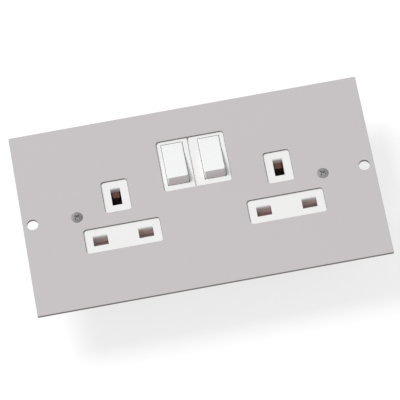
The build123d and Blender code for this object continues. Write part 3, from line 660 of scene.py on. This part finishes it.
def makeSpringTree():  # winds a wire round Z, with close coils at both ends
    tree = bpy.data.node_groups.new("coilSpring", "GeometryNodeTree")
    inputs = [
        ("Length", number),
        ("Coil Radius", number),
        ("Wire Radius", number),
        ("Coils", number),
        ("End Coils", number),
        ("Steps", "NodeSocketInt"),
        ("Wire Sides", "NodeSocketInt"),
        ("Finish", "NodeSocketMaterial"),
    ]
    for label, kind in inputs:
        tree.interface.new_socket(label, in_out="INPUT", socket_type=kind)
    tree.interface.new_socket("Geometry", in_out="OUTPUT", socket_type="NodeSocketGeometry")
    start = addNode(tree, "NodeGroupInput")
    end = addNode(tree, "NodeGroupOutput")

    def work(operation, first, second=None, third=None):
        node = addNode(tree, "ShaderNodeMath", operation=operation)
        for socket, value in zip(node.inputs, (first, second, third)):
            if isinstance(value, (int, float)):
                socket.default_value = value
            elif value is not None:
                join(tree, (value, socket))
        return node.outputs["Value"]

    given = start.outputs
    points = work("MULTIPLY", given["Coils"], given["Steps"])
    wound = addNode(tree, "GeometryNodeMeshLine", mode="OFFSET")
    join(tree, (work("ADD", points, 1.0), wound.inputs["Count"]))
    index = addNode(tree, "GeometryNodeInputIndex")
    along = work("DIVIDE", index.outputs["Index"], points)
    turns = work("MULTIPLY", along, given["Coils"])  # up to this point, in whole coils
    angle = work("MULTIPLY", turns, math.tau)
    closeCoils = work("MULTIPLY", given["End Coils"], 2.0)
    openCoils = work("SUBTRACT", given["Coils"], closeCoils)
    lower = work("MINIMUM", turns, given["End Coils"])
    passed = work("SUBTRACT", turns, given["End Coils"])
    middle = work("MINIMUM", work("MAXIMUM", passed, 0.0), openCoils)
    upper = work("MAXIMUM", work("SUBTRACT", passed, openCoils), 0.0)
    wireWidth = work("MULTIPLY", given["Wire Radius"], 2.0)
    closed = work("MULTIPLY", wireWidth, closeCoils)
    rise = work("DIVIDE", work("SUBTRACT", given["Length"], closed), openCoils)
    flatPart = work("MULTIPLY", work("ADD", lower, upper), wireWidth)
    height = work("MULTIPLY_ADD", middle, rise, flatPart)
    place = addNode(tree, "ShaderNodeCombineXYZ")
    join(
        tree,
        (work("MULTIPLY", work("COSINE", angle), given["Coil Radius"]), place.inputs["X"]),
        (work("MULTIPLY", work("SINE", angle), given["Coil Radius"]), place.inputs["Y"]),
        (height, place.inputs["Z"]),
    )
    bend = addNode(tree, "GeometryNodeSetPosition")
    path = addNode(tree, "GeometryNodeMeshToCurve")
    ring = addNode(tree, "GeometryNodeCurvePrimitiveCircle", mode="RADIUS")
    wire = addNode(tree, "GeometryNodeCurveToMesh")
    wire.inputs["Fill Caps"].default_value = True
    smooth = addNode(tree, "GeometryNodeSetShadeSmooth")
    real = addNode(tree, "GeometryNodeRealizeInstances")
    finish = addNode(tree, "GeometryNodeSetMaterial")
    join(
        tree,
        (wound.outputs["Mesh"], bend.inputs["Geometry"]),
        (place.outputs["Vector"], bend.inputs["Position"]),
        (bend.outputs["Geometry"], path.inputs["Mesh"]),
        (path.outputs["Curve"], wire.inputs["Curve"]),
        (given["Wire Sides"], ring.inputs["Resolution"]),
        (given["Wire Radius"], ring.inputs["Radius"]),
        (ring.outputs["Curve"], wire.inputs["Profile Curve"]),
        (wire.outputs["Mesh"], smooth.inputs["Geometry"]),
        (smooth.outputs["Geometry"], real.inputs["Geometry"]),
        (real.outputs["Geometry"], finish.inputs["Geometry"]),
        (given["Finish"], finish.inputs["Material"]),
        (finish.outputs["Geometry"], end.inputs["Geometry"]),
    )
    return tree


springTree = makeSpringTree()


def springTurn(look):
    return Matrix.Rotation(math.radians(look["tilt"]), 4, "X")


def windSpring(nodeName, look, length, seat):  # seat is where the first coil lies
    piece = addObject(f"{nodeName}_wire", bpy.data.meshes.new(f"{nodeName}_wire"))
    winding = piece.modifiers.new("winding", "NODES")
    winding.node_group = springTree
    values = {
        "Length": length - look["wire"],
        "Coil Radius": look["radius"],
        "Wire Radius": look["wire"] / 2,
        "Coils": look["coils"],
        "End Coils": look["endCoils"],
        "Steps": springs["steps"],
        "Wire Sides": springs["wireSides"],
        "Finish": finishes["springSteel"],
    }
    for item in springTree.interface.items_tree:
        if item.item_type == "SOCKET" and item.in_out == "INPUT":
            winding[item.identifier] = values[item.name]
    bakeModifiers(piece).transform(Matrix.Translation(seat) @ springTurn(look))
    return piece


def windRockerSpring(side):
    look = springs["rocker"]
    nodeName = f"rocker_spring_{side}"
    low, high = (Vector(corner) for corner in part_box(nodeName))
    axis = (springTurn(look) @ Vector((0, 0, 1))).normalized()
    reach = look["radius"] * abs(axis.y)
    length = (high.z - low.z - 2 * reach) / axis.z
    middle = (low + high) / 2
    seat = middle - axis * (length - look["wire"]) / 2
    piece = windSpring(nodeName, look, length, seat)
    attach(piece, f"rocker_{side}")
    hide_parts(nodeName)
    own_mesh(piece)


def windShutterSpring(side):
    look = springs["shutter"]
    nodeName = f"shutter_spring_{side}"
    low, high = (Vector(corner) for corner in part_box(nodeName))
    middle = (low + high) / 2
    seat = Vector((middle.x, low.y + look["wire"] / 2, middle.z))
    piece = windSpring(nodeName, look, high.y - low.y, seat)
    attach(piece, "module")
    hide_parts(nodeName)
    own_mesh(piece)


for side in sides:
    windRockerSpring(side)
    windShutterSpring(side)
print("wound the four springs")


# Camera, lights and floor

camera = {
    "place": (-40.443 * mm, -810.896 * mm, 1483.554 * mm),
    "right": (0.98376, -0.1674, -0.06478),
    "up": (0.17793, 0.86187, 0.47488),
    "lens": 315.0,
    "sensor": 36.0,
    "clip": (0.05, 20.0),
}
studio = {
    "keyStrength": 2.46,
    "keyFrom": (-0.62, 0.55, 1.0),
    "keySoftness": 28.0,
    "fill": 0.38,
    "backdrop": 1.0,  # white
    "backdropColour": (1.0, 1.0, 1.0, 1.0),
    "floorLevel": -27.02 * mm,
    "floorSize": 3.0,
    "floorColour": (0.30, 0.30, 0.30, 1.0),
    "floorGlow": 0.76,  # only seen, and throws no light on the module
}


def seenRays(tree):  # 1 where the camera looks, also in a mirror or through glass
    rays = addNode(tree, "ShaderNodeLightPath").outputs
    straight = combine(tree, "MAXIMUM", rays["Is Camera Ray"], rays["Is Glossy Ray"])
    return combine(tree, "MAXIMUM", straight, rays["Is Transmission Ray"])


def placeCamera():
    data = bpy.data.cameras.new("view")
    data.lens = camera["lens"]
    data.sensor_width = camera["sensor"]
    data.clip_start, data.clip_end = camera["clip"]
    right = Vector(camera["right"]).normalized()
    up = Vector(camera["up"])
    up = (up - right * up.dot(right)).normalized()
    back = right.cross(up)
    turn = Matrix((right, up, back)).transposed().to_4x4()
    eye = addObject("view", data)
    eye.matrix_world = Matrix.Translation(camera["place"]) @ turn
    bpy.context.scene.camera = eye


def hangLights():
    data = bpy.data.lights.new("key", "SUN")
    data.energy = studio["keyStrength"]
    data.angle = math.radians(studio["keySoftness"])
    key = addObject("key", data)
    key.rotation_mode = "QUATERNION"
    key.rotation_quaternion = Vector(studio["keyFrom"]).to_track_quat("Z", "Y")
    world = bpy.data.worlds.new("studio")
    bpy.context.scene.world = world
    tree = emptyTree(world)
    light = addNode(tree, "ShaderNodeBackground")
    light.inputs["Color"].default_value = studio["backdropColour"]
    strength = spread(tree, seenRays(tree), studio["fill"], studio["backdrop"])
    end = addNode(tree, "ShaderNodeOutputWorld")
    join(
        tree,
        (strength, light.inputs["Strength"]),
        (light.outputs["Background"], end.inputs["Surface"]),
    )


def layFloor():
    half = studio["floorSize"] / 2
    mesh = bpy.data.meshes.new("floor")
    corners = [(-half, -half), (half, -half), (half, half), (-half, half)]
    mesh.from_pydata([(x, y, studio["floorLevel"]) for x, y in corners], [], [(0, 1, 2, 3)])
    floor = addObject("floor", mesh)
    material = bpy.data.materials.new("paleFloor")
    tree = emptyTree(material)
    paper = addNode(tree, "ShaderNodeBsdfDiffuse")
    paper.inputs["Color"].default_value = studio["floorColour"]
    lift = addNode(tree, "ShaderNodeEmission")
    amount = spread(tree, seenRays(tree), 0.0, studio["floorGlow"])
    both = addNode(tree, "ShaderNodeAddShader")
    end = addNode(tree, "ShaderNodeOutputMaterial")
    join(
        tree,
        (amount, lift.inputs["Strength"]),
        (paper.outputs["BSDF"], both.inputs[0]),
        (lift.outputs["Emission"], both.inputs[1]),
        (both.outputs["Shader"], end.inputs["Surface"]),
    )
    mesh.materials.append(material)


placeCamera()
hangLights()
layFloor()
bpy.context.scene.view_settings.view_transform = "Standard"
print("set the camera, the lights and the floor")
